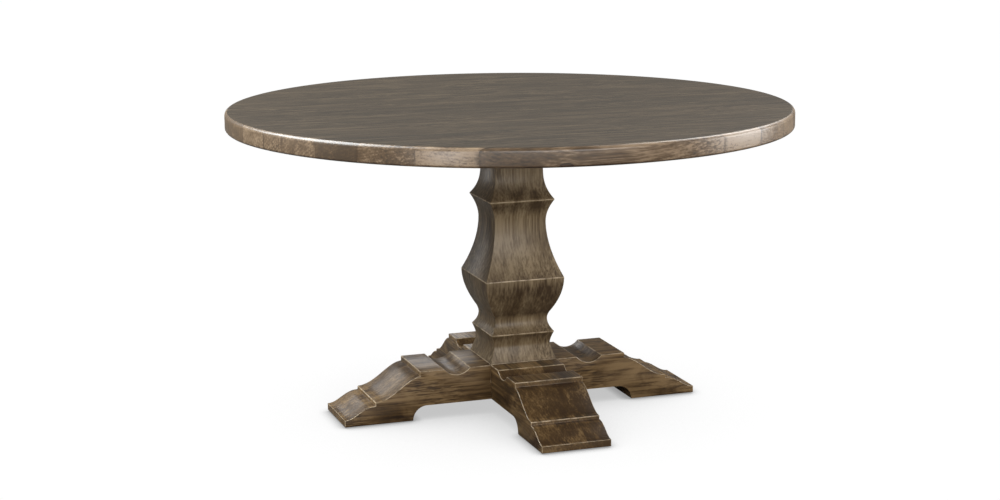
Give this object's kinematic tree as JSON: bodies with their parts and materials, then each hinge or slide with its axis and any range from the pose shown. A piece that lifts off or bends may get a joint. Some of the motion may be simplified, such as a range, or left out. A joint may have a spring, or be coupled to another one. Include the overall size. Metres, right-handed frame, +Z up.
{
  "type": "round pedestal table",
  "caption": "Round wooden dining table on a four-sided vase-shaped pedestal column with a cross of profiled feet, in a greyish-brown glazed finish.",
  "frame": {"origin": "on the floor, under the column's axis", "axes": "+Z up, +X along the grain of the top and along the x beam, -Y towards the front foot"},
  "size_m": [1.372, 1.3719, 0.744],
  "materials": {
    "top_wood": "semi-gloss greyish-brown glaze",
    "base_wood": "semi-gloss greyish-brown glaze, dark in the hollows and worn light on the edges",
    "raw_wood": "unfinished, sanded",
    "zinc_steel": "bright zinc plate",
    "nylon": "matte"
  },
  "bodies": {
    "root": {"top_plank_01": "top_wood", "top_plank_02": "top_wood", "top_plank_03": "top_wood", "top_plank_04": "top_wood", "top_plank_05": "top_wood", "top_plank_06": "top_wood", "top_plank_07": "top_wood", "top_plank_08": "top_wood", "top_plank_09": "top_wood", "top_plank_10": "top_wood", "top_plank_11": "top_wood", "top_plank_12": "top_wood", "top_plank_13": "top_wood", "top_plank_14": "top_wood", "top_plank_15": "top_wood", "top_plank_16": "top_wood", "column_right": "base_wood", "column_back": "base_wood", "column_left": "base_wood", "column_front": "base_wood", "x_beam_front_board": "base_wood", "x_beam_middle_board": "base_wood", "x_beam_back_board": "base_wood", "y_beam_left_board": "base_wood", "y_beam_middle_board": "base_wood", "y_beam_right_board": "base_wood", "batten_left": "raw_wood", "batten_right": "raw_wood", "mounting_plate": "raw_wood", "top_block": "raw_wood", "bottom_block": "raw_wood", "column_dowels": "raw_wood", "batten_screws": "zinc_steel", "plate_screws": "zinc_steel", "head_screws": "zinc_steel", "lap_screws": "zinc_steel", "tie_rod": "zinc_steel", "top_washer": "zinc_steel", "top_nut": "zinc_steel", "bottom_washer": "zinc_steel", "bottom_nut": "zinc_steel", "floor_glides": "nylon"}
  },
  "joints": []
}
